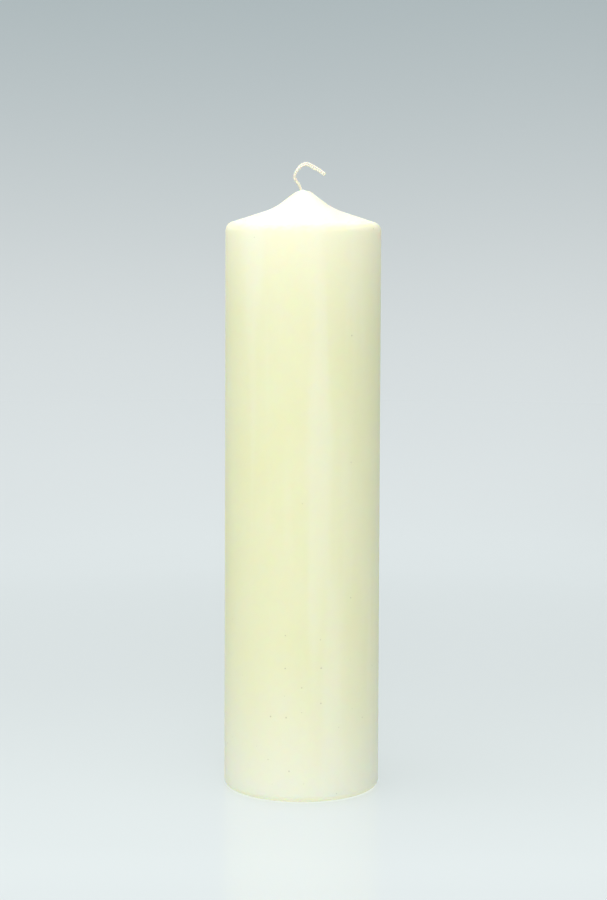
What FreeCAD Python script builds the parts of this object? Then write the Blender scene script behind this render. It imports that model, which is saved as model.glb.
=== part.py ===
import FreeCAD, Part
import math
import os
import Sketcher

# A tall ivory pillar candle of the kind that is lit as the unity candle at a wedding.
#
# A cast wax core with a coned crown stands round a flat-braided cotton wick. The wick is
# crimped into a tinned steel tab that sits in a recess under the base. The core carries a
# dipped coat of harder wax over its crown and its wall. The coat wraps the bevel at the
# core's foot, and both were melted level there, so the candle stands on the two together.
#
# Frame: millimetres, +Z up, origin at the centre of the base. The wick's end hooks over
# towards +X, and the candle's front is its -Y side.

PARTS_FOLDER = "parts"

# Driving sizes: name, value, what it sets. Lengths are in millimetres, angles in degrees.
SIZES = (
    ("candle_diameter", 76.2, "over the coat, a three inch pillar"),
    ("wax_height", 293.5, "from the base to the tip of the crown"),
    ("nose_radius", 8.0, "of the crown's rounded tip"),
    ("flank_angle", 37.0, "of the crown's steep flank, below the horizontal"),
    ("flank_length", 7.4, "of the flank's straight stretch"),
    ("cove_radius", 28.0, "of the hollow between the flank and the shoulder slope"),
    ("shoulder_slope", 18.0, "of the crown's outer slope, below the horizontal"),
    ("shoulder_radius", 4.8, "from the shoulder slope into the wall"),
    ("base_rounding", 3.5, "of the coat's foot"),
    ("coat_thickness", 2.4, "of the dipped outer wax"),
    ("core_bevel", 2.6, "at the core's foot, on each side"),
    ("wick_diameter", 2.2, "mean of the flat braid's width and thickness"),
    ("wick_stub", 0.6, "of wick showing below the tab"),
    ("crimp_fit", 0.02, "radial room between the wick and the tab's collar"),
    ("tab_diameter", 20.0, "of the tab's disc"),
    ("sheet_gauge", 0.3, "thickness of the tab's tinned steel"),
    ("collar_height", 5.0, "of the tab's collar above the disc's seat"),
    ("neck_bend", 0.3, "radius where the disc turns up into the collar"),
    ("bead_place", 6.5, "from the axis to the middle of the disc's stiffening bead"),
    ("bead_rise", 0.5, "of the bead below the disc's seat, inside the sheet"),
    ("recess_depth", 2.2, "from the base up to the tab's seat"),
    ("recess_room", 1.0, "between the disc's rim and the wall of the recess"),
    ("collar_room", 0.15, "between the collar's foot or top and its pocket"),
)

# The hook of the wick past the crown's tip: across, front to back, and above the tip. The
# wick leans over as it leaves the wax, folds back and comes down towards the front right.
WICK_HOOK = (
    (0.0, 0.0, -0.6),
    (-1.75, -0.1, 2.6),
    (-3.6, -0.3, 5.1),
    (-4.25, -0.5, 6.7),
    (-3.1, -0.6, 9.0),
    (-1.1, -0.5, 11.4),
    (1.8, -0.6, 13.1),
    (4.6, -1.1, 11.35),
    (8.1, -1.9, 9.5),
    (11.2, -2.8, 7.2),
)
# Share of the shorter run beside a corner of the route that the corner's bend takes up.
BEND_SHARE = 0.45

UP = FreeCAD.Vector(0, 0, 1)
START, END, CENTRE = 1, 2, 3


def make_sheet(doc):
    """Puts the driving sizes in a spreadsheet, one aliased cell each."""
    sheet = doc.addObject("Spreadsheet::Sheet", "sizes")
    for row, (name, value, purpose) in enumerate(SIZES, start=1):
        sheet.set(f"A{row}", name)
        sheet.set(f"B{row}", str(value))
        sheet.set(f"C{row}", purpose)
        sheet.setAlias(f"B{row}", name)
    doc.recompute()
    return sheet


def origin_feature(body, role):
    """One of a body's own origin planes or axes, found by its role."""
    return next(part for part in body.Origin.OriginFeatures if part.Role == role)


def new_sketch(body, name, role):
    """An empty sketch on one of the body's origin planes."""
    sketch = body.newObject("Sketcher::SketchObject", name)
    sketch.AttachmentSupport = [(origin_feature(body, role), "")]
    sketch.MapMode = "FlatFace"
    return sketch


def bind(sketch, constraint, name, expression):
    """Adds a named dimension to a sketch and drives it from the sheet."""
    index = sketch.addConstraint(constraint)
    sketch.renameConstraint(index, name)
    sketch.setExpression(f"Constraints.{name}", expression)


def direction(angle):
    """The sketch's unit vector at an angle in degrees, anticlockwise from its first axis."""
    return FreeCAD.Vector(math.cos(math.radians(angle)), math.sin(math.radians(angle)), 0)


def add_line(sketch, first, second):
    """Adds a straight edge between two points of the sketch."""
    return sketch.addGeometry(Part.LineSegment(first, second))


def add_arc(sketch, centre, radius, first, second):
    """Adds the arc that runs anticlockwise between two angles in degrees."""
    circle = Part.Circle(centre, UP, radius)
    return sketch.addGeometry(Part.ArcOfCircle(circle, math.radians(first), math.radians(second)))


def turn_about_axis(body, kind, name, sketch):
    """Turns a sketch once round the body's upright axis, adding wax or metal or cutting it."""
    feature = body.newObject(kind, name)
    feature.Profile = sketch
    feature.ReferenceAxis = (origin_feature(body, "Z_Axis"), [""])
    feature.Angle = 360
    sketch.Document.recompute()
    return feature


def draw_crowned_section(sketch, sheet, inset="", bevel=""):
    """Draws half of the candle's upright section, up the axis, over the crown and down.

    The inset names the size that the section stands in from the candle's outside, and the
    bevel names the size of the bevel at the foot of its wall.
    """
    depth = getattr(sheet, inset) if inset else 0.0
    less = f" - sizes.{inset}" if inset else ""
    more = f" + sizes.{inset}" if inset else ""
    cut = getattr(sheet, bevel) if bevel else 0.0
    wall_radius = sheet.candle_diameter / 2 - depth
    tip = sheet.wax_height - depth
    nose_radius = sheet.nose_radius - depth
    cove_radius = sheet.cove_radius + depth
    shoulder_radius = sheet.shoulder_radius - depth
    flank, slope = sheet.flank_angle, sheet.shoulder_slope

    nose_centre = FreeCAD.Vector(0, tip - nose_radius, 0)
    nose_end = nose_centre + direction(90 - flank) * nose_radius
    cove_start = nose_end + direction(-flank) * sheet.flank_length
    cove_centre = cove_start + direction(90 - flank) * cove_radius
    cove_end = cove_centre + direction(270 - slope) * cove_radius
    slope_reach = wall_radius - shoulder_radius * (1 - math.sin(math.radians(slope)))
    slope_length = (slope_reach - cove_end.x) / math.cos(math.radians(slope))
    shoulder_end = cove_end + direction(-slope) * slope_length
    shoulder_centre = shoulder_end - direction(90 - slope) * shoulder_radius
    wall_head = shoulder_centre + direction(0) * shoulder_radius
    wall_foot = FreeCAD.Vector(wall_radius, cut, 0)
    base_rim = FreeCAD.Vector(wall_radius - cut, 0, 0)
    origin = FreeCAD.Vector(0, 0, 0)

    nose = add_arc(sketch, nose_centre, nose_radius, 90 - flank, 90)
    flank_line = add_line(sketch, nose_end, cove_start)
    cove = add_arc(sketch, cove_centre, cove_radius, 270 - flank, 270 - slope)
    slope_line = add_line(sketch, cove_end, shoulder_end)
    shoulder = add_arc(sketch, shoulder_centre, shoulder_radius, 0, 90 - slope)
    wall = add_line(sketch, wall_head, wall_foot)
    base = add_line(sketch, base_rim, origin)
    axis = add_line(sketch, origin, FreeCAD.Vector(0, tip, 0))

    rule = Sketcher.Constraint
    tangents = (
        (nose, START, flank_line, START),
        (flank_line, END, cove, START),
        (cove, END, slope_line, START),
        (slope_line, END, shoulder, END),
        (shoulder, START, wall, START),
    )
    for joint in tangents:
        sketch.addConstraint(rule("Tangent", *joint))
    corners = [(base, END, axis, START), (axis, END, nose, END), (axis, START, -1, 1)]
    if bevel:
        bevel_line = add_line(sketch, wall_foot, base_rim)
        corners += [(wall, END, bevel_line, START), (bevel_line, END, base, START)]
        bind(sketch, rule("DistanceX", base, START, wall, END, cut), "bevel_width",
             f"sizes.{bevel}")
        bind(sketch, rule("DistanceY", base, START, wall, END, cut), "bevel_height",
             f"sizes.{bevel}")
    else:
        corners.append((wall, END, base, START))
    for joint in corners:
        sketch.addConstraint(rule("Coincident", *joint))
    sketch.addConstraint(rule("Vertical", axis))
    sketch.addConstraint(rule("Horizontal", base))
    sketch.addConstraint(rule("Vertical", wall))
    sketch.addConstraint(rule("PointOnObject", nose, CENTRE, -2))
    bind(sketch, rule("DistanceY", axis, START, axis, END, tip), "tip",
         f"sizes.wax_height{less}")
    bind(sketch, rule("DistanceX", axis, START, wall, START, wall_radius), "wall_radius",
         f"sizes.candle_diameter / 2{less}")
    bind(sketch, rule("Radius", nose, nose_radius), "nose", f"sizes.nose_radius{less}")
    bind(sketch, rule("Radius", cove, cove_radius), "cove", f"sizes.cove_radius{more}")
    bind(sketch, rule("Radius", shoulder, shoulder_radius), "shoulder",
         f"sizes.shoulder_radius{less}")
    bind(sketch, rule("Distance", flank_line, sheet.flank_length), "flank_length",
         "sizes.flank_length")
    bind(sketch, rule("Angle", flank_line, math.radians(-flank)), "flank",
         "-sizes.flank_angle * 1 deg")
    bind(sketch, rule("Angle", slope_line, math.radians(-slope)), "slope",
         "-sizes.shoulder_slope * 1 deg")


def cut_round_pocket(body, name, radius, radius_rule, depth, depth_rule):
    """Cuts a round pocket upwards from the base, on the axis."""
    sketch = new_sketch(body, f"{name}_outline", "XY_Plane")
    circle = sketch.addGeometry(Part.Circle(FreeCAD.Vector(0, 0, 0), UP, radius))
    sketch.addConstraint(Sketcher.Constraint("Coincident", circle, CENTRE, -1, 1))
    bind(sketch, Sketcher.Constraint("Radius", circle, radius), "radius", radius_rule)
    pocket = body.newObject("PartDesign::Pocket", name)
    pocket.Profile = sketch
    pocket.Reversed = True
    pocket.Length = depth
    pocket.setExpression("Length", depth_rule)
    before = body.Document.getObject(pocket.BaseFeature.Name).Shape.Volume
    body.Document.recompute()
    if pocket.Shape.Volume >= before:
        raise RuntimeError(f"{name} cut nothing")


def make_core(doc, sheet):
    """The cast core: crown, wall, bevelled foot, and the recess for the tab."""
    body = doc.addObject("PartDesign::Body", "core_body")
    section = new_sketch(body, "core_section", "XZ_Plane")
    draw_crowned_section(section, sheet, inset="coat_thickness", bevel="core_bevel")
    turn_about_axis(body, "PartDesign::Revolution", "core_turned", section)
    disc_radius = sheet.tab_diameter / 2 + sheet.recess_room
    cut_round_pocket(body, "tab_recess", disc_radius,
                     "sizes.tab_diameter / 2 + sizes.recess_room",
                     sheet.recess_depth, "sizes.recess_depth")
    collar_radius = (sheet.wick_diameter / 2 + sheet.crimp_fit + sheet.sheet_gauge
                     + sheet.neck_bend + sheet.collar_room)
    collar_top = sheet.recess_depth + sheet.collar_height + sheet.collar_room
    cut_round_pocket(body, "collar_pocket", collar_radius,
                     "sizes.wick_diameter / 2 + sizes.crimp_fit + sizes.sheet_gauge"
                     " + sizes.neck_bend + sizes.collar_room",
                     collar_top,
                     "sizes.recess_depth + sizes.collar_height + sizes.collar_room")
    return body


def make_coat(doc, sheet):
    """The dipped coat: the candle's outside, rounded at the foot, less the core's form."""
    body = doc.addObject("PartDesign::Body", "coat_body")
    outside = new_sketch(body, "coat_outside", "XZ_Plane")
    draw_crowned_section(outside, sheet)
    turned = turn_about_axis(body, "PartDesign::Revolution", "coat_turned", outside)
    foot = f"Edge{foot_edge(turned.Shape, sheet.candle_diameter / 2)}"
    rounding = body.newObject("PartDesign::Fillet", "coat_foot")
    rounding.Base = (turned, [foot])
    rounding.Radius = sheet.base_rounding
    rounding.setExpression("Radius", "sizes.base_rounding")
    doc.recompute()
    inside = new_sketch(body, "coat_inside", "XZ_Plane")
    draw_crowned_section(inside, sheet, inset="coat_thickness", bevel="core_bevel")
    hollow = turn_about_axis(body, "PartDesign::Groove", "coat_hollow", inside)
    if hollow.Shape.Volume >= rounding.Shape.Volume:
        raise RuntimeError("the coat is not hollow")
    return body


def foot_edge(shape, radius):
    """The number of the round edge of that radius that lies on the base plane."""
    for number, edge in enumerate(shape.Edges, start=1):
        box = edge.BoundBox
        if abs(box.ZMin) + abs(box.ZMax) < 0.01 and abs(box.XMax - radius) < 0.01:
            return number
    raise RuntimeError("the candle has no edge at its foot")


def make_tab(doc, sheet):
    """The wick's tab: a pressed disc with a stiffening bead, and a collar drawn up from it."""
    body = doc.addObject("PartDesign::Body", "wick_tab")
    body.Label = "wick_tab"
    section = new_sketch(body, "tab_section", "XZ_Plane")
    draw_tab_section(section, sheet)
    turn_about_axis(body, "PartDesign::Revolution", "tab_pressed", section)
    for kind, name, radius, rule in (
        ("PartDesign::Revolution", "bead_under", sheet.bead_rise + sheet.sheet_gauge,
         "sizes.bead_rise + sizes.sheet_gauge"),
        ("PartDesign::Groove", "bead_inside", sheet.bead_rise, "sizes.bead_rise"),
    ):
        half_round = new_sketch(body, f"{name}_section", "XZ_Plane")
        draw_half_round(half_round, sheet, radius, rule)
        turn_about_axis(body, kind, name, half_round)
    return body


def draw_tab_section(sketch, sheet):
    """Draws the sheet metal of the disc, the bend at the neck and the collar."""
    gauge, bend = sheet.sheet_gauge, sheet.neck_bend
    inner = sheet.wick_diameter / 2 + sheet.crimp_fit
    outer = inner + gauge
    seat = sheet.recess_depth
    top = seat + sheet.collar_height
    rim = sheet.tab_diameter / 2
    bend_centre = FreeCAD.Vector(outer + bend, seat + bend, 0)
    points = [FreeCAD.Vector(*place, 0) for place in (
        (inner, top), (outer, top), (outer, seat + bend), (outer + bend, seat),
        (rim, seat), (rim, seat - gauge), (outer + bend, seat - gauge), (inner, seat + bend),
    )]
    collar_top = add_line(sketch, points[0], points[1])
    collar_outside = add_line(sketch, points[1], points[2])
    bend_outside = add_arc(sketch, bend_centre, bend, 180, 270)
    disc_top = add_line(sketch, points[3], points[4])
    disc_rim = add_line(sketch, points[4], points[5])
    disc_under = add_line(sketch, points[5], points[6])
    bend_inside = add_arc(sketch, bend_centre, bend + gauge, 180, 270)
    collar_inside = add_line(sketch, points[7], points[0])

    rule = Sketcher.Constraint
    for joint in (
        (collar_outside, END, bend_outside, START),
        (bend_outside, END, disc_top, START),
        (disc_under, END, bend_inside, END),
        (bend_inside, START, collar_inside, START),
    ):
        sketch.addConstraint(rule("Tangent", *joint))
    for joint in (
        (collar_top, END, collar_outside, START),
        (disc_top, END, disc_rim, START),
        (disc_rim, END, disc_under, START),
        (collar_inside, END, collar_top, START),
        (bend_outside, CENTRE, bend_inside, CENTRE),
    ):
        sketch.addConstraint(rule("Coincident", *joint))
    for line in (collar_top, disc_top):
        sketch.addConstraint(rule("Horizontal", line))
    for line in (collar_outside, disc_rim):
        sketch.addConstraint(rule("Vertical", line))
    bind(sketch, rule("DistanceX", -1, 1, collar_top, START, inner), "collar_bore",
         "sizes.wick_diameter / 2 + sizes.crimp_fit")
    bind(sketch, rule("DistanceX", collar_top, gauge), "gauge", "sizes.sheet_gauge")
    bind(sketch, rule("DistanceY", -1, 1, collar_top, START, top), "collar_top",
         "sizes.recess_depth + sizes.collar_height")
    bind(sketch, rule("DistanceY", -1, 1, disc_top, START, seat), "seat", "sizes.recess_depth")
    bind(sketch, rule("Radius", bend_outside, bend), "bend", "sizes.neck_bend")
    bind(sketch, rule("DistanceX", -1, 1, disc_top, END, rim), "rim", "sizes.tab_diameter / 2")
    bind(sketch, rule("DistanceY", disc_rim, END, disc_rim, START, gauge), "rim_gauge",
         "sizes.sheet_gauge")


def draw_half_round(sketch, sheet, radius, radius_rule):
    """Draws a half round that hangs from the disc's seat, at the place of the bead."""
    centre = FreeCAD.Vector(sheet.bead_place, sheet.recess_depth, 0)
    arc = add_arc(sketch, centre, radius, 180, 360)
    chord = add_line(sketch, centre + direction(0) * radius, centre - direction(0) * radius)
    rule = Sketcher.Constraint
    sketch.addConstraint(rule("Coincident", arc, END, chord, START))
    sketch.addConstraint(rule("Coincident", chord, END, arc, START))
    sketch.addConstraint(rule("Horizontal", chord))
    sketch.addConstraint(rule("PointOnObject", arc, CENTRE, chord))
    bind(sketch, rule("Radius", arc, radius), "radius", radius_rule)
    bind(sketch, rule("DistanceX", -1, 1, arc, CENTRE, sheet.bead_place), "place",
         "sizes.bead_place")
    bind(sketch, rule("DistanceY", -1, 1, arc, CENTRE, sheet.recess_depth), "height",
         "sizes.recess_depth")


def bent_route(points):
    """Straight runs between the points, joined by arcs that touch both runs."""
    edges = []
    last = points[0]
    for before, corner, after in zip(points, points[1:], points[2:]):
        back, ahead = before - corner, after - corner
        half_turn = (math.pi - back.getAngle(ahead)) / 2
        trim = BEND_SHARE * min(back.Length, ahead.Length)
        radius = trim / math.tan(half_turn)
        print(f"wick bend: radius {radius:.2f}, turn {math.degrees(2 * half_turn):.0f} degrees")
        first = corner + back.normalize() * trim
        second = corner + ahead.normalize() * trim
        middle_way = (back + ahead).normalize()
        middle = corner + middle_way * (radius / math.cos(half_turn) - radius)
        edges.append(Part.LineSegment(last, first).toShape())
        edges.append(Part.Arc(first, middle, second).toShape())
        last = second
    edges.append(Part.LineSegment(last, points[-1]).toShape())
    return Part.Wire(edges)


def make_wick(doc, sheet):
    """The whole wick: up the axis from below the tab, out of the crown and over in a hook."""
    foot = FreeCAD.Vector(0, 0, sheet.recess_depth - sheet.sheet_gauge - sheet.wick_stub)
    tip = FreeCAD.Vector(0, 0, sheet.wax_height)
    points = [foot] + [tip + FreeCAD.Vector(*place) for place in WICK_HOOK]
    route = doc.addObject("Part::Feature", "wick_route")
    route.Shape = bent_route(points)
    section = doc.addObject("Part::Circle", "wick_section")
    section.Radius = sheet.wick_diameter / 2
    section.setExpression("Radius", "sizes.wick_diameter / 2")
    section.Placement.Base = foot
    section.setExpression(".Placement.Base.z",
                          "sizes.recess_depth - sizes.sheet_gauge - sizes.wick_stub")
    wick = doc.addObject("Part::Sweep", "wick")
    wick.Label = "wick"
    wick.Sections = [section]
    wick.Spine = (route, [f"Edge{number}" for number in range(1, len(route.Shape.Edges) + 1)])
    wick.Solid = True
    wick.Frenet = False
    doc.recompute()
    expected = math.pi * (sheet.wick_diameter / 2) ** 2 * route.Shape.Length
    print(f"wick: {route.Shape.Length:.1f} long, {wick.Shape.Volume:.1f} of wick in a tube of "
          f"{expected:.1f}")
    if abs(wick.Shape.Volume - expected) > 0.01 * expected:
        raise RuntimeError("the wick's tube is not its section times its length")
    return wick


def set_round_wick(doc, body, wick, label):
    """Gives the wax the hole that the wick leaves, because it set round the wick."""
    piece = doc.addObject("Part::Cut", label)
    piece.Label = label
    piece.Base = body
    piece.Tool = wick
    doc.recompute()
    if piece.Shape.Volume >= body.Shape.Volume:
        raise RuntimeError(f"{label} has no hole for the wick")
    return piece


def check(doc, pieces):
    """Stops if any object failed, or if any piece is not one valid solid."""
    for item in doc.Objects:
        if "Invalid" in item.State or "Error" in item.State:
            raise RuntimeError(f"{item.Name} failed: {item.State}")
    for piece in pieces:
        shape = piece.Shape
        if shape.isNull() or not shape.isValid() or len(shape.Solids) != 1:
            raise RuntimeError(f"{piece.Label} is not one valid solid")


def main():
    doc = FreeCAD.newDocument("unity_candle")
    sheet = make_sheet(doc)
    wick = make_wick(doc, sheet)
    pieces = [
        set_round_wick(doc, make_coat(doc, sheet), wick, "wax_coat"),
        set_round_wick(doc, make_core(doc, sheet), wick, "wax_core"),
        wick,
        make_tab(doc, sheet),
    ]
    doc.recompute()
    check(doc, pieces)
    os.makedirs(PARTS_FOLDER, exist_ok=True)
    for piece in pieces:
        piece.Shape.exportStep(f"{PARTS_FOLDER}/{piece.Label}.step")
        box = piece.Shape.BoundBox
        print(f"{piece.Label}: {piece.Shape.Volume / 1000:.2f} ml, z {box.ZMin:.2f} to "
              f"{box.ZMax:.2f}, x {box.XMin:.2f} to {box.XMax:.2f}")


main()
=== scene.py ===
"""Looks of a tall ivory unity candle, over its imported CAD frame.

The candle is a cast core in a dipped coat, on one flat-braided wick that a tinned tab holds at the
foot. The coat and the wick are modelled anew here, and the core and the tab keep their CAD shapes.
Lengths are in metres and +Z is up. The wick's end hooks over towards +X, and the front is -Y.
"""

import logging
import math
from dataclasses import dataclass, field
from enum import Enum

import bpy
import numpy as np
from mathutils import Matrix, Vector


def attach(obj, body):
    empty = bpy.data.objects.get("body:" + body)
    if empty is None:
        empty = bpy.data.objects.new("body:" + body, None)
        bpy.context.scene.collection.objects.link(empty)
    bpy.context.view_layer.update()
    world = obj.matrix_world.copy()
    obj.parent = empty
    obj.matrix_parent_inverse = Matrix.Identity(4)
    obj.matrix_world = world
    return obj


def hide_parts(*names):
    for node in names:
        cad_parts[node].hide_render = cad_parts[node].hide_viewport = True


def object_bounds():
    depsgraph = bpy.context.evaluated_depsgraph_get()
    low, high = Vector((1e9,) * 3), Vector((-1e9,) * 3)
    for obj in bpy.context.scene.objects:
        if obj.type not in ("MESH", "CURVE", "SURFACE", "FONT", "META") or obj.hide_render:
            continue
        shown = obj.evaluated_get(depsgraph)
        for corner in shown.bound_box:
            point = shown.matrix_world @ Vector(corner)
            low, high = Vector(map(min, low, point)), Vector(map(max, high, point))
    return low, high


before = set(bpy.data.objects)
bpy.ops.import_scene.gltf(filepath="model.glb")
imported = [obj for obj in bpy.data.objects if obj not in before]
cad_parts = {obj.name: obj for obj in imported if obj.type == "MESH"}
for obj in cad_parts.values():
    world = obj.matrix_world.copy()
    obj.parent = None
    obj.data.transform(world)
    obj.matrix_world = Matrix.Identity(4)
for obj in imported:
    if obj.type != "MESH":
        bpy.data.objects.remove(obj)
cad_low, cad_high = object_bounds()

LOG = logging.getLogger("unity_candle")

BODY = "root"
WAX_RADIUS = (cad_high.x - cad_low.x) / 2
WAX_HEIGHT = 0.2935
# The wick's route: its foot below the tab, a point where it still stands straight in the wax,
# and the hook past the crown's tip.
WICK_FOOT = (0.0, 0.0, 0.0013)
WICK_STRAIGHT_TO = (0.0, 0.0, WAX_HEIGHT - 0.0132)
WICK_HOOK = (
    (-0.0010, 0.0, -0.0006),
    (-0.0019, -0.0001, 0.0024),
    (-0.0039, -0.0003, 0.0049),
    (-0.00465, -0.0005, 0.0068),
    (-0.0034, -0.0006, 0.0094),
    (-0.0012, -0.0005, 0.0121),
    (0.0018, -0.0006, 0.0131),
    (0.0046, -0.0011, 0.01135),
    (0.0081, -0.0019, 0.0095),
    (0.0107, -0.0027, 0.0075),
)


class NodeKind(Enum):
    """The shader nodes that the finishes are made of."""

    COORDINATES = "ShaderNodeTexCoord"
    MAPPING = "ShaderNodeMapping"
    NOISE = "ShaderNodeTexNoise"
    CELLS = "ShaderNodeTexVoronoi"
    RANGE = "ShaderNodeMapRange"
    MATH = "ShaderNodeMath"
    VECTOR_MATH = "ShaderNodeVectorMath"
    SPLIT = "ShaderNodeSeparateXYZ"
    JOIN = "ShaderNodeCombineXYZ"
    MIX = "ShaderNodeMix"
    RAMP = "ShaderNodeValToRGB"
    BUMP = "ShaderNodeBump"
    GROUP = "ShaderNodeGroup"


@dataclass
class NodeDesk:
    """A node tree that is being laid out, with short calls to add and join its nodes.

    Attributes:
        tree: the material's or the group's node tree.
        column: how many nodes have been added, which spreads them over the editor.
    """

    tree: bpy.types.NodeTree
    column: int = 0

    def add(self, kind: NodeKind, **settings: object) -> bpy.types.Node:
        """Adds a node.

        Args:
            kind: which node it is.
            **settings: the node's own properties, such as operation or data_type.

        Returns:
            The new node.
        """
        node = self.tree.nodes.new(kind.value)
        for name, value in settings.items():
            setattr(node, name, value)
        node.location = (200 * (self.column % 8) - 1800, 400 - 260 * (self.column // 8))
        self.column += 1
        return node

    def join(self, source: bpy.types.NodeSocket, target: bpy.types.NodeSocket) -> None:
        """Links one socket to another."""
        self.tree.links.new(source, target)

    def feed(self, node: bpy.types.Node, inputs: dict[object, object]) -> bpy.types.Node:
        """Sets a node's inputs, by value or by link.

        Args:
            node: the node to feed.
            inputs: socket name or index, and the value or the socket that goes into it.

        Returns:
            The same node.
        """
        for key, value in inputs.items():
            if isinstance(value, bpy.types.NodeSocket):
                self.join(value, node.inputs[key])
            else:
                node.inputs[key].default_value = value
        return node

    def maths(self, operation: str, first: object, second: object = 0.0) -> bpy.types.NodeSocket:
        """Adds a maths node on two values or sockets, and returns its result."""
        node = self.feed(self.add(NodeKind.MATH, operation=operation), {0: first, 1: second})
        return node.outputs[0]

    def remap(self, value: object, low: float, high: float, to_low: float = 0.0,
              to_high: float = 1.0, smooth: bool = False) -> bpy.types.NodeSocket:
        """Adds a node that maps one range of values to another.

        Args:
            value: the socket to read.
            low: the value that becomes to_low.
            high: the value that becomes to_high.
            to_low: the result at low.
            to_high: the result at high.
            smooth: whether the change eases in and out.

        Returns:
            The socket with the result, which stays between the two.
        """
        kind = "SMOOTHSTEP" if smooth else "LINEAR"
        node = self.add(NodeKind.RANGE, interpolation_type=kind, clamp=True)
        self.feed(node, {"Value": value, "From Min": low, "From Max": high,
                         "To Min": to_low, "To Max": to_high})
        return node.outputs["Result"]

    def blend(self, mask: object, first: object, second: object,
              way: str = "MIX") -> bpy.types.NodeSocket:
        """Mixes two colours by a mask.

        Args:
            mask: how much of the second colour shows, from 0 to 1.
            first: the colour at 0.
            second: the colour at 1.
            way: the blend type.

        Returns:
            The socket with the mixed colour.
        """
        node = self.add(NodeKind.MIX, data_type="RGBA", blend_type=way)
        self.feed(node, {"Factor": mask, 6: first, 7: second})
        return node.outputs[2]

    def noise(self, place: object, scale: float, detail: float = 2.0, roughness: float = 0.5,
              stretch: tuple[float, float, float] = (1.0, 1.0, 1.0)) -> bpy.types.NodeSocket:
        """Adds noise over a place, and returns its value.

        Args:
            place: the coordinates to read.
            scale: lumps to a metre.
            detail: octaves of finer lumps.
            roughness: how strong the finer lumps are.
            stretch: how much faster the noise changes along each axis.

        Returns:
            The socket with the noise, about 0.5 on average.
        """
        if stretch != (1.0, 1.0, 1.0):
            mapping = self.add(NodeKind.MAPPING)
            self.feed(mapping, {"Vector": place, "Scale": stretch})
            place = mapping.outputs[0]
        node = self.add(NodeKind.NOISE)
        self.feed(node, {"Vector": place, "Scale": scale, "Detail": detail,
                         "Roughness": roughness})
        return node.outputs[0]

    def bump(self, height: object, distance: float, strength: float = 1.0,
             normal: object = None) -> bpy.types.NodeSocket:
        """Adds relief and returns the bent normal.

        Args:
            height: the relief, from 0 to 1.
            distance: how tall a relief of 1 stands.
            strength: how much of the relief shows.
            normal: the normal to bend, where it isn't the surface's own.

        Returns:
            The socket with the normal.
        """
        node = self.feed(self.add(NodeKind.BUMP), {"Height": height, "Distance": distance,
                                                   "Strength": strength})
        if normal is not None:
            self.join(normal, node.inputs["Normal"])
        return node.outputs[0]


def start_group(name: str, inputs: dict[str, tuple[str, object]],
                outputs: dict[str, str]) -> tuple[bpy.types.NodeTree, NodeDesk, object, object]:
    """Starts a node group that several finishes share.

    Args:
        name: the group's name.
        inputs: socket name, and its type and default.
        outputs: socket name, and its type.

    Returns:
        The group, a desk on it, and its input and output nodes.
    """
    tree = bpy.data.node_groups.new(name, "ShaderNodeTree")
    for label, (kind, default) in inputs.items():
        socket = tree.interface.new_socket(label, in_out="INPUT", socket_type=kind)
        if default is not None:
            socket.default_value = default
    for label, kind in outputs.items():
        tree.interface.new_socket(label, in_out="OUTPUT", socket_type=kind)
    desk = NodeDesk(tree)
    return tree, desk, tree.nodes.new("NodeGroupInput"), tree.nodes.new("NodeGroupOutput")


FLOAT, VECTOR = "NodeSocketFloat", "NodeSocketVector"


def make_pinholes() -> bpy.types.NodeTree:
    """Makes the group of pinholes: small round dents in a few cells of a pattern, with painted
    shade inside them.

    The pattern lies on the unrolled wall, with its seam at the back.

    Returns:
        A group that takes Place, Radius, Scale, Share and Size and puts out Mark, the mask of the
        painted shade in the pinholes, and Depth.
    """
    tree, desk, given, result = start_group(
        "pinholes",
        {"Place": (VECTOR, None), "Radius": (FLOAT, 0.038), "Scale": (FLOAT, 110.0),
         "Share": (FLOAT, 0.1), "Size": (FLOAT, 0.03)},
        {"Mark": FLOAT, "Depth": FLOAT})
    place = desk.add(NodeKind.SPLIT)
    desk.join(given.outputs["Place"], place.inputs[0])
    back = desk.maths("MULTIPLY", place.outputs[1], -1.0)
    round_wall = desk.maths("ARCTAN2", place.outputs[0], back)
    flat = desk.add(NodeKind.JOIN)
    desk.feed(flat, {0: desk.maths("MULTIPLY", round_wall, given.outputs["Radius"]),
                     1: place.outputs[2]})
    cells = desk.add(NodeKind.CELLS, feature="F1", voronoi_dimensions="2D")
    desk.feed(cells, {"Vector": flat.outputs[0], "Scale": given.outputs["Scale"],
                      "Randomness": 1.0})
    lot = desk.add(NodeKind.SPLIT)
    desk.join(cells.outputs["Color"], lot.inputs[0])
    chosen = desk.maths("LESS_THAN", lot.outputs[0], given.outputs["Share"])
    size = desk.maths("MULTIPLY", given.outputs["Size"],
                      desk.remap(lot.outputs[1], 0.0, 1.0, 0.45, 1.3))
    nearness = desk.maths("DIVIDE", cells.outputs["Distance"], size)
    round_mark = desk.maths("SUBTRACT", 1.0, desk.remap(nearness, 0.4, 1.0, smooth=True))
    mark = desk.maths("MULTIPLY", round_mark, chosen)
    # Mark carries the pinholes' painted shade, and Depth carries their dents.
    desk.join(mark, result.inputs["Mark"])
    desk.join(desk.maths("SUBTRACT", 1.0, mark), result.inputs["Depth"])
    return tree


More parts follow.
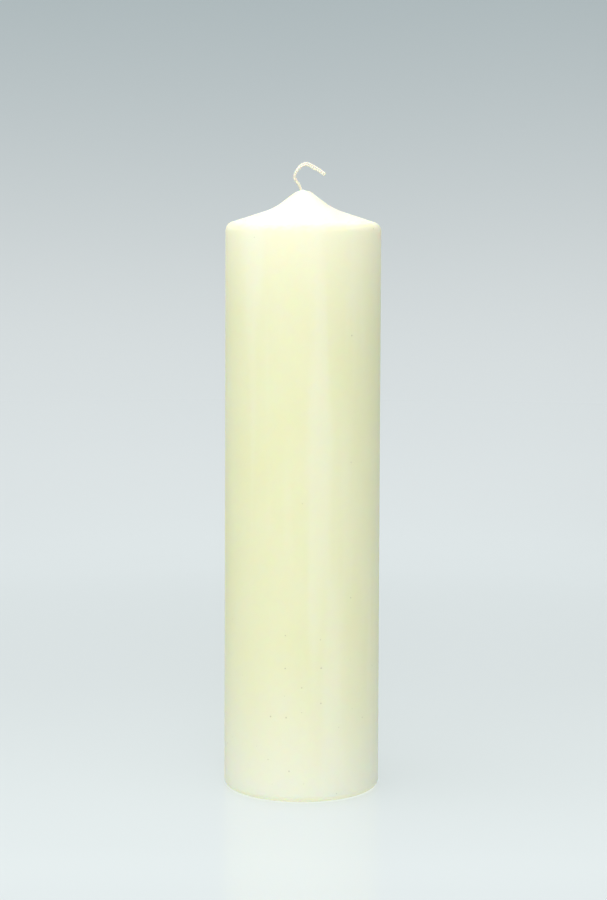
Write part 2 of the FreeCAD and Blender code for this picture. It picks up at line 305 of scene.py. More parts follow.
def make_wax_surface() -> bpy.types.NodeTree:
    """Makes the group of a dipped wax surface: drag lines, ripples and a fine skin.

    Returns:
        A group that takes Place and puts out Relief, Cloud, Skin and Streak.
    """
    tree, desk, given, result = start_group(
        "wax_surface", {"Place": (VECTOR, None)},
        {"Relief": FLOAT, "Cloud": FLOAT, "Skin": FLOAT, "Streak": FLOAT})
    place = given.outputs["Place"]
    drag = desk.noise(place, 70.0, detail=2.0, stretch=(1.0, 1.0, 0.07))
    ripple = desk.noise(place, 95.0, detail=1.5, stretch=(1.0, 1.0, 0.6))
    cloud = desk.noise(place, 26.0, detail=4.0, roughness=0.6, stretch=(1.0, 1.0, 0.45))
    skin = desk.noise(place, 1500.0, detail=2.0)
    relief = desk.maths("ADD", desk.maths("MULTIPLY", drag, 0.45),
                        desk.maths("MULTIPLY", ripple, 0.55))
    desk.join(relief, result.inputs["Relief"])
    desk.join(cloud, result.inputs["Cloud"])
    desk.join(skin, result.inputs["Skin"])
    desk.join(drag, result.inputs["Streak"])
    return tree


@dataclass(frozen=True)
class SharedEffects:
    """The node groups that more than one finish uses.

    Attributes:
        pinholes: small round marks on the wall.
        wax_surface: the relief and the clouds of a wax surface.
    """

    pinholes: bpy.types.NodeTree
    wax_surface: bpy.types.NodeTree

    @classmethod
    def make(cls) -> "SharedEffects":
        """Makes each group once."""
        return cls(pinholes=make_pinholes(), wax_surface=make_wax_surface())


def start_material(name: str) -> tuple[bpy.types.Material, NodeDesk, bpy.types.Node]:
    """Starts a material with an empty Principled shader.

    Args:
        name: the material's name.

    Returns:
        The material, a desk on its tree, and the shader.
    """
    material = bpy.data.materials.new(name)
    material.use_nodes = True
    tree = material.node_tree
    shader = next(node for node in tree.nodes if node.type == "BSDF_PRINCIPLED")
    return material, NodeDesk(tree), shader


@dataclass(frozen=True)
class WaxFinish:
    """Ivory pillar wax.

    Attributes:
        name: the material's name.
        colour: the wax's own colour, linear.
        deep: the colour of its yellower clouds, linear.
        pale: the pale colour of its drag streaks, and of the painted light on its head, crown and
            foot, linear.
        roughness: of the skin.
        relief: how tall the ripples of the skin stand.
        pinholes: share of the pattern's cells that hold a pinhole, high up and near the foot.
        scatter: how far light travels in the wax, for each of red, green and blue.
        gloss: how strongly the skin mirrors, where 0.5 is plain plastic.
        painted_glow_tint: tint of the painted glow that the head and the foot's rim give off,
            linear.
        painted_glow_strength: of that painted glow.
        head_span: heights where the painted light and the painted glow at the head start and are
            full.
        crown_span: heights where the wall ends and the crown starts, which has painted light of its
            own.
        foot_top: height where the painted light at the foot starts.
        rim_span: heights where the painted glow of the foot's rim starts and is full.
    """

    name: str
    colour: tuple[float, float, float, float]
    deep: tuple[float, float, float, float]
    pale: tuple[float, float, float, float]
    roughness: float
    relief: float
    pinholes: tuple[float, float]
    scatter: tuple[float, float, float]
    gloss: float = 0.22
    painted_glow_tint: tuple[float, float, float, float] = (1.0, 0.80, 0.15, 1.0)
    painted_glow_strength: float = 0.07
    head_span: tuple[float, float] = (0.215, 0.274)
    crown_span: tuple[float, float] = (0.2735, 0.2785)
    foot_top: float = 0.085
    rim_span: tuple[float, float] = (0.0036, 0.0010)

    def make(self, effects: SharedEffects) -> bpy.types.Material:
        """Makes the material.

        Args:
            effects: the shared node groups.

        Returns:
            The material.
        """
        material, desk, shader = start_material(self.name)
        place = desk.add(NodeKind.COORDINATES).outputs["Object"]
        surface = desk.add(NodeKind.GROUP, node_tree=effects.wax_surface)
        desk.join(place, surface.inputs["Place"])
        height = desk.add(NodeKind.SPLIT)
        desk.join(place, height.inputs[0])
        pinholes = desk.add(NodeKind.GROUP, node_tree=effects.pinholes)
        low_down = desk.remap(height.outputs[2], 0.10, 0.02, self.pinholes[0], self.pinholes[1])
        desk.feed(pinholes, {"Place": place, "Scale": 120.0, "Share": low_down, "Size": 0.05})
        cloud = desk.remap(surface.outputs["Cloud"], 0.36, 0.66, smooth=True)
        colour = desk.blend(cloud, self.colour, self.deep)
        streak = desk.remap(surface.outputs["Streak"], 0.50, 0.68, 0.0, 0.22, smooth=True)
        colour = desk.blend(streak, colour, self.pale)
        # Painted light: the base colour is made paler towards the head, over the crown and towards
        # the foot, which lightens the shade low on the wall.
        head = desk.maths("POWER", desk.remap(height.outputs[2], *self.head_span), 2.0)
        crown = desk.remap(height.outputs[2], *self.crown_span, smooth=True)
        head = desk.maths("MULTIPLY", head, desk.remap(crown, 0.0, 1.0, 1.0, 0.2))
        foot = desk.maths("POWER", desk.remap(height.outputs[2], self.foot_top, 0.0), 1.4)
        # This mask is the painted light on the head, the crown and the foot.
        pale = desk.maths("ADD", desk.maths("MULTIPLY", head, 0.5),
                          desk.maths("MULTIPLY", foot, 0.75))
        pale = desk.maths("MAXIMUM", pale, desk.maths("MULTIPLY", crown, 0.5))
        rim = desk.remap(height.outputs[2], *self.rim_span, smooth=True)
        colour = desk.blend(pale, colour, self.pale)
        # Painted shade: the wax is darkened inside the pinholes' dents.
        mark = desk.maths("MULTIPLY", pinholes.outputs["Mark"], 0.38)
        colour = desk.blend(mark, colour, (0.40, 0.36, 0.20, 1.0))
        rough = desk.maths("ADD", desk.remap(surface.outputs["Cloud"], 0.3, 0.7,
                                             self.roughness - 0.05, self.roughness + 0.05),
                           desk.maths("MULTIPLY", surface.outputs["Skin"], 0.06))
        ripples = desk.bump(surface.outputs["Relief"], self.relief)
        skin = desk.bump(surface.outputs["Skin"], 0.00002, 0.35, ripples)
        dented = desk.bump(pinholes.outputs["Depth"], 0.0003, 0.6, skin)
        # Painted glow: the head and the foot's rim shine through the emission, though no lamp is
        # there.
        painted_glow_tint = desk.blend(desk.maths("MAXIMUM", head, rim), (0.0, 0.0, 0.0, 1.0),
                            self.painted_glow_tint)
        desk.feed(shader, {"Base Color": colour, "Roughness": rough, "Normal": dented,
                           "Emission Color": painted_glow_tint})
        shader.inputs["Emission Strength"].default_value = self.painted_glow_strength
        shader.inputs["Subsurface Weight"].default_value = 1.0
        shader.inputs["Subsurface Radius"].default_value = self.scatter
        shader.inputs["Subsurface Scale"].default_value = 1.0
        shader.inputs["IOR"].default_value = 1.44
        shader.inputs["Specular IOR Level"].default_value = self.gloss
        return material


@dataclass(frozen=True)
class CottonFinish:
    """Bleached cotton yarn, primed with wax.

    Attributes:
        colour: of a waxed yarn's outside, linear.
        groove: of the painted shade in the grooves between yarns, linear.
        wax: of the wax that fills the grooves in places, linear.
    """

    colour: tuple[float, float, float, float] = (0.87, 0.83, 0.65, 1.0)
    groove: tuple[float, float, float, float] = (0.74, 0.63, 0.43, 1.0)
    wax: tuple[float, float, float, float] = (0.88, 0.85, 0.65, 1.0)

    def make(self) -> bpy.types.Material:
        """Makes the material, whose fibres follow the yarns' own map.

        Returns:
            The material.
        """
        material, desk, shader = start_material("waxed_cotton_yarn")
        along = desk.add(NodeKind.COORDINATES).outputs["UV"]
        parts = desk.add(NodeKind.SPLIT)
        desk.join(along, parts.inputs[0])
        fibres = desk.noise(along, 1.0, detail=3.0, stretch=(1.1, 9.0, 1.0))
        clots = desk.noise(along, 0.45, detail=2.0, stretch=(1.0, 0.6, 1.0))
        waxed = desk.remap(clots, 0.42, 0.6, smooth=True)
        # Painted shade: the yarns darken towards the grooves between them, less where wax fills the
        # grooves, and the fibres add their own darker tone.
        between = desk.remap(desk.maths("PINGPONG", parts.outputs[1], 0.5), 0.3, 0.5,
                             smooth=True)
        shade = desk.maths("MULTIPLY", between, desk.remap(waxed, 0.0, 1.0, 0.5, 0.2))
        frayed = desk.remap(fibres, 0.30, 0.62, 0.12, 0.0, smooth=True)
        colour = desk.blend(desk.maths("MAXIMUM", shade, frayed), self.colour, self.groove)
        colour = desk.blend(desk.maths("MULTIPLY", waxed, 0.4), colour, self.wax)
        desk.feed(shader, {"Base Color": colour,
                           "Roughness": desk.remap(waxed, 0.0, 1.0, 0.62, 0.38),
                           "Normal": desk.bump(fibres, 0.00003, 0.5)})
        shader.inputs["Subsurface Weight"].default_value = 0.35
        shader.inputs["Subsurface Radius"].default_value = (0.0006, 0.0004, 0.0002)
        shader.inputs["Subsurface Scale"].default_value = 1.0
        return material


@dataclass(frozen=True)
class TinFinish:
    """Bright tinned sheet steel, pressed in a die.

    Attributes:
        colour: of the tin, linear.
        roughness: between its marks.
    """

    colour: tuple[float, float, float, float] = (0.72, 0.72, 0.70, 1.0)
    roughness: float = 0.28

    def make(self) -> bpy.types.Material:
        """Makes the material, with the roller's lines, spangle and dull patches.

        Returns:
            The material.
        """
        material, desk, shader = start_material("tinned_sheet")
        place = desk.add(NodeKind.COORDINATES).outputs["Object"]
        lines = desk.noise(place, 900.0, detail=3.0, stretch=(0.04, 1.0, 1.0))
        spangle = desk.add(NodeKind.CELLS, feature="F1")
        desk.feed(spangle, {"Vector": place, "Scale": 900.0})
        dull = desk.noise(place, 260.0, detail=4.0)
        colour = desk.blend(desk.remap(dull, 0.45, 0.7, smooth=True), self.colour,
                            (0.46, 0.45, 0.42, 1.0))
        rough = desk.maths("ADD", desk.remap(dull, 0.35, 0.75, self.roughness, 0.5),
                           desk.maths("MULTIPLY", spangle.outputs["Distance"], 0.08))
        desk.feed(shader, {"Base Color": colour, "Roughness": rough,
                           "Normal": desk.bump(lines, 0.000008, 0.6)})
        shader.inputs["Metallic"].default_value = 1.0
        return material


@dataclass
class Outline:
    """Half of the candle's upright section, as places of radius and height.

    Attributes:
        radius: of the wall, at its widest.
        tip: height of the crown's tip.
        nose: radius of the rounded tip.
        flank: slope of the steep flank, in degrees.
        flank_length: of the flank's straight stretch.
        cove: radius of the hollow below the flank.
        slope: of the crown's outer part, in degrees.
        shoulder: radius of the shoulder.
        foot: radius of the rounded foot.
    """

    radius: float = WAX_RADIUS
    tip: float = WAX_HEIGHT
    nose: float = 0.008
    flank: float = 37.0
    flank_length: float = 0.0074
    cove: float = 0.028
    slope: float = 18.0
    shoulder: float = 0.0048
    foot: float = 0.0035

    def inset(self, depth: float) -> "Outline":
        """The same outline, set in by a depth."""
        return Outline(self.radius - depth, self.tip - depth, self.nose - depth, self.flank,
                       self.flank_length, self.cove + depth, self.slope, self.shoulder - depth)

    @staticmethod
    def arc(centre: np.ndarray, radius: float, first: float, last: float,
            steps: int) -> list[np.ndarray]:
        """Places along an arc, both its ends included.

        Args:
            centre: radius and height of the arc's centre.
            radius: of the arc.
            first: angle where it starts, in degrees above the level.
            last: angle where it ends.
            steps: how many stretches it has.

        Returns:
            The places.
        """
        angles = np.radians(np.linspace(first, last, steps + 1))
        return [centre + radius * np.array([math.cos(a), math.sin(a)]) for a in angles]

    def crown(self, start: float, steps: int) -> list[np.ndarray]:
        """Places from near the axis, over the crown, to the head of the wall.

        Args:
            start: angle on the nose's arc where the places start, in degrees from upright.
            steps: how many stretches each arc has.

        Returns:
            The places, from the axis outwards.
        """
        down = np.array([math.cos(math.radians(self.flank)), -math.sin(math.radians(self.flank))])
        out = np.array([math.cos(math.radians(self.slope)), -math.sin(math.radians(self.slope))])
        nose = self.arc(np.array([0.0, self.tip - self.nose]), self.nose, 90 - start,
                        90 - self.flank, steps)
        cove_start = nose[-1] + down * self.flank_length
        lift = np.array([-down[1], down[0]])
        cove = self.arc(cove_start + lift * self.cove, self.cove, 270 - self.flank,
                        270 - self.slope, steps)
        reach = self.radius - self.shoulder * (1 - math.sin(math.radians(self.slope)))
        run = out * ((reach - cove[-1][0]) / out[0])
        top = cove[-1] + run
        centre = top - self.shoulder * np.array([-out[1], out[0]])
        shoulder = self.arc(centre, self.shoulder, 90 - self.slope, 0, steps)
        flank_places = [nose[-1] + down * self.flank_length * part for part in (0.33, 0.67)]
        run_places = [cove[-1] + run * part for part in np.linspace(0.1, 0.9, 9)]
        return nose + flank_places + cove + run_places + shoulder


def clear_selection() -> None:
    """Leaves edit mode and deselects every object."""
    if bpy.context.object and bpy.context.object.mode != "OBJECT":
        bpy.ops.object.mode_set(mode="OBJECT")
    bpy.ops.object.select_all(action="DESELECT")


def drawn_section(name: str, places: list) -> bpy.types.Object:
    """Draws a line by extruding a point from place to place, and stays in edit mode.

    Args:
        name: the new piece's name.
        places: radius and height of each place.

    Returns:
        The piece, which is only that line as yet.
    """
    clear_selection()
    first = Vector((places[0][0], 0.0, places[0][1]))
    bpy.ops.mesh.primitive_plane_add(size=0.001, location=first)
    piece = bpy.context.object
    piece.name = name
    bpy.ops.object.transform_apply(location=True)
    bpy.ops.object.mode_set(mode="EDIT")
    bpy.ops.mesh.select_mode(type="VERT")
    bpy.ops.mesh.select_all(action="SELECT")
    bpy.ops.mesh.merge(type="CENTER")
    for before, after in zip(places, places[1:]):
        step = (after[0] - before[0], 0.0, after[1] - before[1])
        bpy.ops.mesh.extrude_region_move(TRANSFORM_OT_translate={"value": step})
    bpy.ops.mesh.select_all(action="SELECT")
    return piece


def turned_piece(name: str, places: list[np.ndarray], segments: int) -> bpy.types.Object:
    """Draws a closed outline and spins it round the axis.

    Args:
        name: the piece's name.
        places: radius and height of each corner of the outline.
        segments: flats round the piece.

    Returns:
        The closed piece, with its faces pointing outwards.
    """
    piece = drawn_section(name, places + places[:1])
    bpy.ops.mesh.remove_doubles(threshold=0.000005)
    bpy.ops.mesh.spin(steps=segments, angle=math.tau, center=(0, 0, 0), axis=(0, 0, 1))
    bpy.ops.mesh.select_all(action="SELECT")
    bpy.ops.mesh.remove_doubles(threshold=0.000005)
    bpy.ops.mesh.normals_make_consistent(inside=False)
    bpy.ops.object.mode_set(mode="OBJECT")
    return piece


def dress(piece: bpy.types.Object, material: bpy.types.Material, angle: float = 35.0) -> None:
    """Gives a piece its material and smooth shading.

    Args:
        piece: the piece.
        material: its finish.
        angle: edges sharper than this stay crisp, in degrees.
    """
    piece.data.materials.clear()
    piece.data.materials.append(material)
    clear_selection()
    piece.select_set(True)
    bpy.context.view_layer.objects.active = piece
    bpy.ops.object.shade_smooth_by_angle(angle=math.radians(angle))


@dataclass
class WaxCoat:
    """The dipped coat: a shell over the core, with the small faults of real wax.

    Attributes:
        finish: its wax.
        outline: of its outside.
        thickness: of the dip, over the crown and the wall.
        bevel: on the core's foot, which the coat wraps.
        waist: how much the wall draws in at its middle.
        draw: how much narrower the wall is at its head than at its foot.
        lip: radius, height above the tip and spread of the wax that climbs the wick.
        lean: how far the wick carries the top of that wax sideways.
        lean_from: how far below the tip the leaning starts.
        lean_reach: radius within which it happens.
        segments: flats round the coat.
    """

    finish: WaxFinish
    outline: Outline = field(default_factory=Outline)
    thickness: float = 0.0024
    bevel: float = 0.0026
    waist: float = 0.00005
    draw: float = 0.0
    lip: tuple[float, float, float] = (0.00045, 0.0009, 0.0011)
    lean: float = -0.00125
    lean_from: float = 0.0004
    lean_reach: float = 0.004
    segments: int = 288

    def wall_radius(self, height: float) -> float:
        """The outside's radius at a height, narrow at the middle and widest at the foot."""
        part = min(max(height / (self.outline.tip - 0.020), 0.0), 1.0)
        dip = math.sin(math.pi * part ** 0.8) ** 1.2
        return self.outline.radius - self.waist * dip - self.draw * part

    def places(self) -> list[np.ndarray]:
        """The corners of the shell's closed section, up the inside and down the outside."""
        outer, inner = self.outline, self.outline.inset(self.thickness)
        lip_radius, lip_height, lip_spread = self.lip
        crown = outer.crown(math.degrees(lip_spread * 2.6 / outer.nose), 14)
        climb = [np.array([lip_radius + lip_spread * part,
                           outer.tip + lip_height * (1 - part) ** 2.2 - 0.00012 * part])
                 for part in np.linspace(0.0, 1.0, 7)]
        narrowing = outer.radius - self.wall_radius(outer.tip)
        crown = [np.array([r - narrowing * (r / outer.radius), z]) for r, z in crown]
        head, foot = crown[-1][1], outer.foot
        wall = [np.array([self.wall_radius(z), z]) for z in np.linspace(head, foot, 118)[1:]]
        foot_centre = np.array([outer.radius - outer.foot, outer.foot])
        rounding = outer.arc(foot_centre, outer.foot, 0, -90, 12)[1:]
        bevel_foot = np.array([inner.radius - self.bevel, 0.0])
        inside = [np.array([inner.radius, z]) for z in np.linspace(self.bevel, 0.268, 12)]
        under = inner.crown(math.degrees(lip_radius / inner.nose), 6)[::-1]
        return climb + crown + wall + rounding + [bevel_foot] + inside + under

    def lean_lip(self, coat: bpy.types.Object) -> None:
        """Carries the wax round the wick's root over to the side that the wick leans to.

        Args:
            coat: the coat.
        """
        for vertex in coat.data.vertices:
            place = vertex.co
            rise = place.z - (self.outline.tip - self.lean_from)
            if rise > 0 and math.hypot(place.x, place.y) < self.lean_reach:
                place.x += self.lean * (rise / (self.lip[1] + self.lean_from)) ** 0.5

    def build(self, effects: SharedEffects) -> bpy.types.Object:
        """Models the coat.

        Args:
            effects: the shared node groups.

        Returns:
            The coat, in place of its CAD node.
        """
        coat = turned_piece("dipped_coat", self.places(), self.segments)
        self.lean_lip(coat)
        dress(coat, self.finish.make(effects), 50)
        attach(coat, BODY)
        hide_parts("wax_coat")
        LOG.info("coat: %d faces", len(coat.data.polygons))
        return coat


@dataclass
class Wick:
    """The flat-braided wick: five strands of twisted yarns along the candle's axis.

    Attributes:
        finish: its yarn.
        width: across the braid's broad side.
        thickness: across its narrow side.
        plait: length of wick in which a strand comes back to its place.
        strands: in the braid.
        strand_width: of one strand, along the braid's broad side.
        strand_depth: of one strand, along its narrow side.
        yarns: in each strand.
        yarn_lay: length of wick in which a strand's yarns turn once.
        groove: how deep the grooves between yarns are, as a share of the strand's radius.
        sides: flats round a strand.
        shown: length of wick that stands out of the wax, or just below it.
        roll: how far the braid is turned below and past the hook's first bend, in degrees.
        roll_span: lengths from the tip between which it turns.
    """

    finish: CottonFinish
    width: float = 0.0020
    thickness: float = 0.0014
    plait: float = 0.0070
    strands: int = 5
    strand_width: float = 0.00088
    strand_depth: float = 0.00070
    yarns: int = 4
    yarn_lay: float = 0.0042
    groove: float = 0.16
    sides: int = 24
    shown: float = 0.034
    roll: tuple[float, float] = (8.0, 80.0)
    roll_span: tuple[float, float] = (0.0195, 0.0100)

    def route(self) -> np.ndarray:
        """The wick's centreline: a smooth spline through the wax and over in the hook.

        Returns:
            Places along the centreline, close together.
        """
        places = [WICK_FOOT, WICK_STRAIGHT_TO]
        places += [(x, y, WAX_HEIGHT + z) for x, y, z in WICK_HOOK]
        curve = bpy.data.curves.new("wick_route", "CURVE")
        curve.dimensions = "3D"
        curve.resolution_u = 24
        spline = curve.splines.new("NURBS")
        spline.points.add(len(places) - 1)
        for point, place in zip(spline.points, places):
            point.co = (*place, 1.0)
        spline.order_u = 3
        spline.use_endpoint_u = True
        guide = bpy.data.objects.new("wick_route", curve)
        mesh = bpy.data.meshes.new_from_object(guide)
        line = np.array([vertex.co for vertex in mesh.vertices])
        bpy.data.meshes.remove(mesh)
        bpy.data.objects.remove(guide)
        bpy.data.curves.remove(curve)
        return line

    def stations(self, line: np.ndarray) -> tuple[np.ndarray, np.ndarray]:
        """Places to model the wick at, close together where it shows and wider in the wax.

        Args:
            line: the centreline.

        Returns:
            How far along each station is, and where it is.
        """
        gone = np.linalg.norm(np.diff(line, axis=0), axis=1)
        along = np.concatenate([[0.0], np.cumsum(gone)])
        end = along[-1]
        hidden = end - self.shown
        marks = np.concatenate([np.arange(0.0, 0.008, 0.0003), np.arange(0.008, hidden, 0.0014),
                                np.arange(hidden, end - 0.0001, 0.00016), [end]])
        return marks, np.stack([np.interp(marks, along, line[:, k]) for k in range(3)], axis=1)

    def frames(self, marks: np.ndarray, places: np.ndarray) -> tuple[np.ndarray, np.ndarray]:
        """The braid's broad and narrow directions at each station.

        The broad side faces sideways in the wax and turns to the front over the hook.

        Args:
            marks: how far along each station is.
            places: where each station is.

        Returns:
            The broad directions and the narrow directions.
        """
        ahead = np.gradient(places, marks, axis=0)
        ahead /= np.linalg.norm(ahead, axis=1)[:, None]
        broad = np.zeros_like(places)
        side = np.array([0.0, 1.0, 0.0])
        for i, heading in enumerate(ahead):
            side = side - heading * side.dot(heading)
            side /= np.linalg.norm(side)
            broad[i] = side
        narrow = np.cross(ahead, broad)
        start, stop = self.roll_span
        part = np.clip((start - (marks[-1] - marks)) / (start - stop), 0.0, 1.0)
        ease = part * part * (3 - 2 * part)
        roll = np.radians(self.roll[0] + (self.roll[1] - self.roll[0]) * ease)[:, None]
        turned = broad * np.cos(roll) + narrow * np.sin(roll)
        return turned, np.cross(ahead, turned)

    def strand_tube(self, marks: np.ndarray, places: np.ndarray, broad: np.ndarray,
                    narrow: np.ndarray, strand: int) -> tuple[np.ndarray, np.ndarray]:
        """One strand's surface, ring by ring, with a groove between its yarns.

        Args:
            marks: how far along each station is.
            places: where each station is.
            broad: the braid's broad directions.
            narrow: the braid's narrow directions.
            strand: which strand.

        Returns:
            The rings' corners, and each corner's place on the yarns' map.
        """
        swing, lift = (self.width - self.strand_width) / 2, (self.thickness - self.strand_depth) / 2
        phase = math.tau * (marks / self.plait + strand / self.strands)
        wander = 0.00005 * np.sin(marks * 1300 + 1.7 * strand)
        middle = (places + broad * (swing * np.sin(phase) + wander)[:, None]
                  + narrow * (lift * np.sin(2 * phase))[:, None])
        turn = np.linspace(0.0, 1.0, self.sides + 1)[None, :]
        lay = (marks / self.yarn_lay + 0.37 * strand)[:, None]
        ridge = 1 - self.groove * (1 - np.abs(np.cos(math.pi * self.yarns * (turn - lay)))) ** 1.4
        swell = 1 + 0.05 * np.sin(marks * 2100 + 2.3 * strand)[:, None]
        from_end = np.minimum(marks - marks[0], marks[-1] - marks) / (self.strand_width / 2)
        cap = np.sqrt(np.clip(1 - (1 - np.clip(from_end, 0, 1)) ** 2, 0.02, 1))[:, None]
        across = np.cos(math.tau * turn) * self.strand_width / 2 * ridge * swell * cap
        through = np.sin(math.tau * turn) * self.strand_depth / 2 * ridge * swell * cap
        rings = (middle[:, None, :] + broad[:, None, :] * across[:, :, None]
                 + narrow[:, None, :] * through[:, :, None])
        along = np.broadcast_to(marks[:, None] * 1000, across.shape)
        return rings, np.stack([along, self.yarns * (turn - lay)], axis=2)

    def build(self) -> bpy.types.Object:
        """Models the braid.

        Returns:
            The wick, in place of its CAD node.
        """
        line = self.route()
        marks, places = self.stations(line)
        broad, narrow = self.frames(marks, places)
        corners, faces, face_map = [], [], []
        for strand in range(self.strands):
            keep = int(np.searchsorted(marks, marks[-1] - 0.00045 * (strand * 3 % 5) / 4)) + 1
            rings, chart = self.strand_tube(marks[:keep], places[:keep], broad[:keep],
                                            narrow[:keep], strand)
            first, count = len(corners), self.sides
            corners += rings[:, :count].reshape(-1, 3).tolist()
            for ring in range(len(rings) - 1):
                for k in range(count):
                    here, after = first + ring * count, first + (ring + 1) * count
                    beside = (k + 1) % count
                    faces.append((here + k, here + beside, after + beside, after + k))
                    face_map += [chart[ring, k], chart[ring, k + 1], chart[ring + 1, k + 1],
                                 chart[ring + 1, k]]
            last = first + (len(rings) - 1) * count
            faces.append(tuple(first + k for k in reversed(range(count))))
            face_map += [chart[0, k] for k in reversed(range(count))]
            faces.append(tuple(last + k for k in range(count)))
            face_map += [chart[-1, k] for k in range(count)]
        mesh = bpy.data.meshes.new("braided_wick")
        mesh.from_pydata(corners, [], faces)
        yarn_map = mesh.uv_layers.new(name="yarns")
        yarn_map.data.foreach_set("uv", np.array(face_map, np.float32).ravel())
        wick = bpy.data.objects.new("braided_wick", mesh)
        bpy.context.scene.collection.objects.link(wick)
        dress(wick, self.finish.make(), 60)
        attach(wick, BODY)
        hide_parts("wick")
        LOG.info("wick: %.1f mm long, %d faces", marks[-1] * 1000, len(mesh.polygons))
        return wick


@dataclass
class HiddenParts:
    """The core and the tab, which keep their CAD shapes and get their finishes.

    Attributes:
        core_finish: the cast wax.
        tab_finish: the tinned steel.
    """

    core_finish: WaxFinish
    tab_finish: TinFinish

    def build(self, effects: SharedEffects) -> None:
        """Dresses both nodes.

        Args:
            effects: the shared node groups.
        """
        for node, material in (("wax_core", self.core_finish.make(effects)),
                               ("wick_tab", self.tab_finish.make())):
            piece = bpy.data.objects[node]
            piece.data.materials.clear()
            piece.data.materials.append(material)
            LOG.info("%s: CAD shape, finished as %s", node, material.name)


@dataclass(frozen=True)
class BoardFinish:
    """Smooth pale board of the sweep, which glows with painted light, shaded by place, so that it
    hardly takes a shadow.

    Attributes:
        front: how far along the sweep its near floor is, and the colour of its painted light and
            shade there, linear.
        round_foot: the same, for the floor that the candle stands on.
        behind: for the floor behind it.
        wall_foot: for the place where the floor has become wall.
        wall_middle: for half-way up the wall.
        wall_top: for its top.
        roughness: of its floor, which shows a soft reflection.
        painted_board_glow: how brightly its painted glow shines.
        painted_light_round_foot: painted light that makes it shine brighter close round the
            candle's foot, which hides the contact shadow there.
    """

    front: tuple[float, tuple[float, float, float]] = (0.03, (0.78, 0.85, 0.83))
    round_foot: tuple[float, tuple[float, float, float]] = (0.15, (0.65, 0.71, 0.70))
    behind: tuple[float, tuple[float, float, float]] = (0.30, (0.65, 0.71, 0.71))
    wall_foot: tuple[float, tuple[float, float, float]] = (0.47, (0.80, 0.86, 0.86))
    wall_middle: tuple[float, tuple[float, float, float]] = (0.72, (0.68, 0.74, 0.74))
    wall_top: tuple[float, tuple[float, float, float]] = (1.0, (0.45, 0.53, 0.54))
    roughness: float = 0.16
    painted_board_glow: float = 0.60
    painted_light_round_foot: float = 0.26

    def make(self) -> bpy.types.Material:
        """Makes the material.

        Returns:
            The material.
        """
        material, desk, shader = start_material("pale_board")
        place = desk.add(NodeKind.SPLIT)
        desk.join(desk.add(NodeKind.COORDINATES).outputs["Object"], place.inputs[0])
        # Painted light and shade: the glow gets a shade for each place along the sweep, from the
        # near floor up to the wall's top.
        depth = desk.remap(place.outputs[1], -0.5, 1.6, -0.5, 1.6)
        climb = desk.maths("MULTIPLY", place.outputs[2], 2.0)
        along = desk.remap(desk.maths("ADD", depth, climb), -0.2, 2.7)
        ramp = desk.add(NodeKind.RAMP)
        desk.join(along, ramp.inputs[0])
        stops = ramp.color_ramp.elements
        shades = (self.front, self.round_foot, self.behind, self.wall_foot, self.wall_middle,
                  self.wall_top)
        for position, colour in shades[1:-1]:
            stops.new(position)
        ramp.color_ramp.interpolation = "CARDINAL"
        for stop, (position, colour) in zip(stops, shades):
            stop.position = position
            stop.color = (*colour, 1.0)
        # Painted shade: the glow darkens towards the sweep's right and left.
        right = desk.remap(place.outputs[0], 0.2, 1.5, 1.0, 0.40, smooth=True)
        left = desk.remap(place.outputs[0], -1.5, -0.2, 0.72, 1.0, smooth=True)
        lit = desk.blend(desk.maths("MULTIPLY", left, right), (0.0, 0.0, 0.0, 1.0),
                         ramp.outputs[0])
        # Painted light: a ring of extra glow close round the candle's foot lightens its contact
        # shadow.
        floor_radius = desk.add(NodeKind.VECTOR_MATH, operation="LENGTH")
        desk.join(desk.add(NodeKind.COORDINATES).outputs["Object"], floor_radius.inputs[0])
        glow = desk.remap(floor_radius.outputs["Value"], 0.0350, 0.0380, self.painted_light_round_foot, 0.0,
                          smooth=True)
        lit = desk.blend(glow, lit, (1.0, 1.0, 1.0, 1.0), "ADD")
        # The base colour is the same painted shades, darkened, and the emission carries the painted
        # glow.
        desk.feed(shader, {"Base Color": desk.blend(0.8, ramp.outputs[0], (0.1, 0.1, 0.1, 1.0)),
                           "Emission Color": lit})
        shader.inputs["Emission Strength"].default_value = self.painted_board_glow
        gloss = desk.remap(place.outputs[2], 0.0, 0.6, self.roughness, 0.9)
        desk.join(gloss, shader.inputs["Roughness"])
        shader.inputs["IOR"].default_value = 1.2
        return material


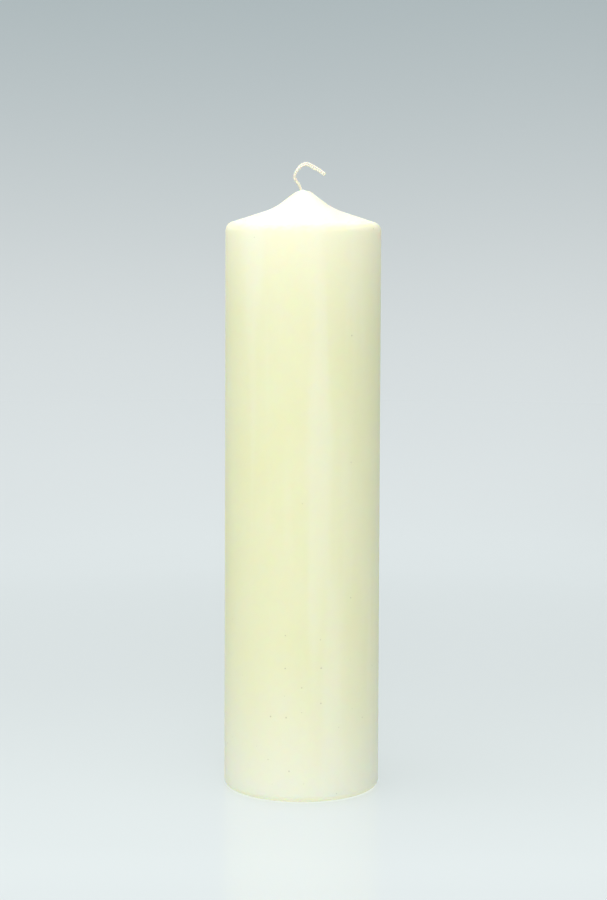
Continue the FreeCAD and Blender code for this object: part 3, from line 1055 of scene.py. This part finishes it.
@dataclass
class Studio:
    """The pale sweep, the soft lights and the camera.

    Attributes:
        distance: from the camera to the candle's axis.
        aside: how far the camera stands to the right of the axis.
        eye_height: of the camera.
        pitch: how far the camera looks down, in degrees.
        roll: how far the camera leans, in degrees.
        focal_length: of the lens, in millimetres.
        shift: of the lens, in lengths of the film's longer side.
        floor_radius: of the sweep's flat floor.
        sweep_reach: how far out the curve between its floor and its wall goes.
        sweep_rise: how high that curve climbs.
        wall_height: of the sweep.
    """

    distance: float = 1.05
    aside: float = 0.0003
    eye_height: float = 0.278
    pitch: float = 3.2
    roll: float = 0.235
    focal_length: float = 85.75
    shift: float = -0.1202
    floor_radius: float = 0.45
    sweep_reach: float = 1.15
    sweep_rise: float = 1.0
    wall_height: float = 1.3

    def add_camera(self) -> None:
        """Adds the camera, level with the candle's shoulder."""
        data = bpy.data.cameras.new("camera")
        data.lens = self.focal_length
        data.sensor_width = 36.0
        data.shift_y = self.shift
        data.clip_start = 0.05
        camera = bpy.data.objects.new("camera", data)
        bpy.context.scene.collection.objects.link(camera)
        stand = Matrix.Translation((self.aside, -self.distance, self.eye_height))
        look = Matrix.Rotation(math.radians(90 - self.pitch), 4, "X")
        camera.matrix_world = stand @ look @ Matrix.Rotation(math.radians(self.roll), 4, "Z")
        bpy.context.scene.camera = camera

    def add_light(self, name: str, place: tuple[float, float, float],
                  aim: tuple[float, float, float], size: tuple[float, float], power: float,
                  colour: tuple[float, float, float]) -> None:
        """Adds a soft box.

        Args:
            name: the light's name.
            place: where its middle is.
            aim: the point that it faces.
            size: its width and height.
            power: in watts.
            colour: of its light.
        """
        data = bpy.data.lights.new(name, "AREA")
        data.shape = "RECTANGLE"
        data.size, data.size_y = size
        data.energy = power
        data.color = colour
        light = bpy.data.objects.new(name, data)
        bpy.context.scene.collection.objects.link(light)
        light.visible_camera = False
        light.location = place
        facing = Vector(aim) - Vector(place)
        light.rotation_euler = facing.to_track_quat("-Z", "Y").to_euler()

    def add_sweep(self) -> None:
        """Adds the floor and the wall as one round sheet of board, curved where they meet."""
        section = [(0.0, 0.0), (0.2, 0.0)]
        for turn in np.linspace(0.0, 1.0, 48):
            lift = 1 - math.cos(turn * math.pi / 2)
            reach = (1 - (1 - lift) ** 2) ** 0.25
            section.append((self.floor_radius + reach * self.sweep_reach,
                            lift * self.sweep_rise))
        section.append((self.floor_radius + self.sweep_reach, self.wall_height))
        sweep = drawn_section("sweep", section)
        bpy.ops.mesh.spin(steps=96, angle=math.tau, center=(0, 0, 0), axis=(0, 0, 1))
        bpy.ops.mesh.select_all(action="SELECT")
        bpy.ops.mesh.remove_doubles(threshold=0.0001)
        bpy.ops.object.mode_set(mode="OBJECT")
        dress(sweep, BoardFinish().make(), 60)

    def build(self) -> None:
        """Sets the studio up."""
        scene = bpy.context.scene
        scene.view_settings.view_transform = "Standard"
        world = bpy.data.worlds.new("soft_room")
        world.use_nodes = True
        room = world.node_tree.nodes["Background"]
        room.inputs["Color"].default_value = (1.0, 1.0, 1.0, 1)
        room.inputs["Strength"].default_value = 0.80
        scene.world = world
        self.add_camera()
        self.add_sweep()
        self.add_light("top_box", (-0.17, -0.12, 1.25), (0, 0, 0.25), (0.8, 0.8), 8.4,
                       (0.92, 0.90, 0.95))
        self.add_light("front_box", (0.05, -1.35, 0.75), (0, 0, 0.16), (0.6, 0.6), 8.3,
                       (0.68, 0.645, 1.0))
        self.add_light("left_box", (-0.75, -1.1, 0.55), (0, 0, 0.16), (0.5, 0.9), 0.8,
                       (0.9, 0.9, 1.0))


def main() -> None:
    """Builds the candle and the studio."""
    logging.basicConfig(level=logging.INFO, format="%(name)s: %(message)s")
    Studio().build()
    effects = SharedEffects.make()
    Wick(CottonFinish()).build()
    dipped = WaxFinish(name="dipped_ivory_wax", colour=(0.868, 0.862, 0.54, 1),
                       deep=(0.855, 0.848, 0.505, 1), pale=(0.955, 0.95, 0.76, 1),
                       roughness=0.40, relief=0.00010, pinholes=(0.02, 0.34),
                       scatter=(0.0018, 0.0014, 0.0008))
    WaxCoat(dipped).build(effects)
    cast = WaxFinish(name="cast_ivory_wax", colour=(0.86, 0.86, 0.60, 1),
                     deep=(0.80, 0.79, 0.50, 1), pale=(0.90, 0.90, 0.70, 1),
                     roughness=0.55, relief=0.00025, pinholes=(0.3, 0.4),
                     scatter=(0.0016, 0.0012, 0.0006), painted_glow_strength=0.0)
    HiddenParts(cast, TinFinish()).build(effects)


if __name__ == "__main__":
    main()
